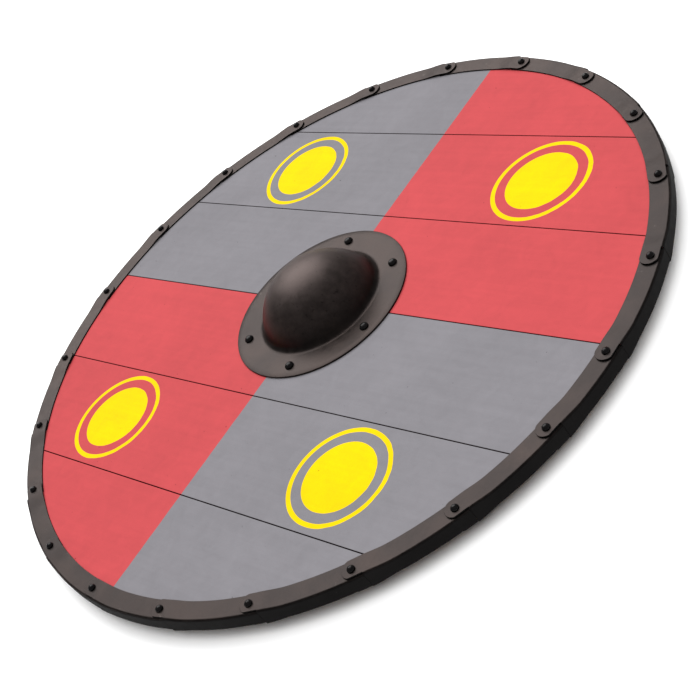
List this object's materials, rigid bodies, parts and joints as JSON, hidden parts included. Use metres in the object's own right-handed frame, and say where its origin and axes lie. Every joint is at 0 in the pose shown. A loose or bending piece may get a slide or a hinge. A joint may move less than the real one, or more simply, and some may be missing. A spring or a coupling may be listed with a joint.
{
  "type": "wooden round shield",
  "caption": "Round plank-built hand shield with quartered painted face, domed steel boss over a hand hole, riveted steel rim and a wooden grip across the back",
  "frame": {"origin": "middle of the box around the shield, in the plane of the grip's underside, which is what the shield lies on", "axes": "+Z out of the painted front, +X along the planks, +Y across the planks"},
  "size_m": [0.762, 0.7616, 0.0828],
  "materials": {
    "painted_planks": "matt paint brushed over softwood boards, in quarters of red and grey with yellow discs and rings",
    "blackened_steel": "blackened mild steel sheet, satin, browned in patches and rubbed pale on the edges",
    "rivets": "blackened steel domed heads, satin",
    "bare_wood": "bare sanded wood, lightly oiled and darkened where it is held"
  },
  "bodies": {
    "root": {"plank_1": "painted_planks", "plank_2": "painted_planks", "plank_3": "painted_planks", "plank_4": "painted_planks", "plank_5": "painted_planks", "plank_6": "painted_planks", "boss": "blackened_steel", "boss_rivet_1": "rivets", "boss_rivet_2": "rivets", "boss_rivet_3": "rivets", "boss_rivet_4": "rivets", "boss_rivet_5": "rivets", "boss_rivet_6": "rivets", "rim_segment_01": "blackened_steel", "rim_segment_02": "blackened_steel", "rim_segment_03": "blackened_steel", "rim_segment_04": "blackened_steel", "rim_segment_05": "blackened_steel", "rim_segment_06": "blackened_steel", "rim_segment_07": "blackened_steel", "rim_segment_08": "blackened_steel", "rim_segment_09": "blackened_steel", "rim_segment_10": "blackened_steel", "rim_segment_11": "blackened_steel", "rim_segment_12": "blackened_steel", "rim_segment_13": "blackened_steel", "rim_segment_14": "blackened_steel", "rim_segment_15": "blackened_steel", "rim_segment_16": "blackened_steel", "rim_segment_17": "blackened_steel", "rim_segment_18": "blackened_steel", "rim_segment_19": "blackened_steel", "rim_segment_20": "blackened_steel", "rim_segment_21": "blackened_steel", "rim_segment_22": "blackened_steel", "rim_rivet_01": "rivets", "rim_rivet_02": "rivets", "rim_rivet_03": "rivets", "rim_rivet_04": "rivets", "rim_rivet_05": "rivets", "rim_rivet_06": "rivets", "rim_rivet_07": "rivets", "rim_rivet_08": "rivets", "rim_rivet_09": "rivets", "rim_rivet_10": "rivets", "rim_rivet_11": "rivets", "rim_rivet_12": "rivets", "rim_rivet_13": "rivets", "rim_rivet_14": "rivets", "rim_rivet_15": "rivets", "rim_rivet_16": "rivets", "rim_rivet_17": "rivets", "rim_rivet_18": "rivets", "rim_rivet_19": "rivets", "rim_rivet_20": "rivets", "rim_rivet_21": "rivets", "rim_rivet_22": "rivets", "grip": "bare_wood"}
  },
  "joints": []
}
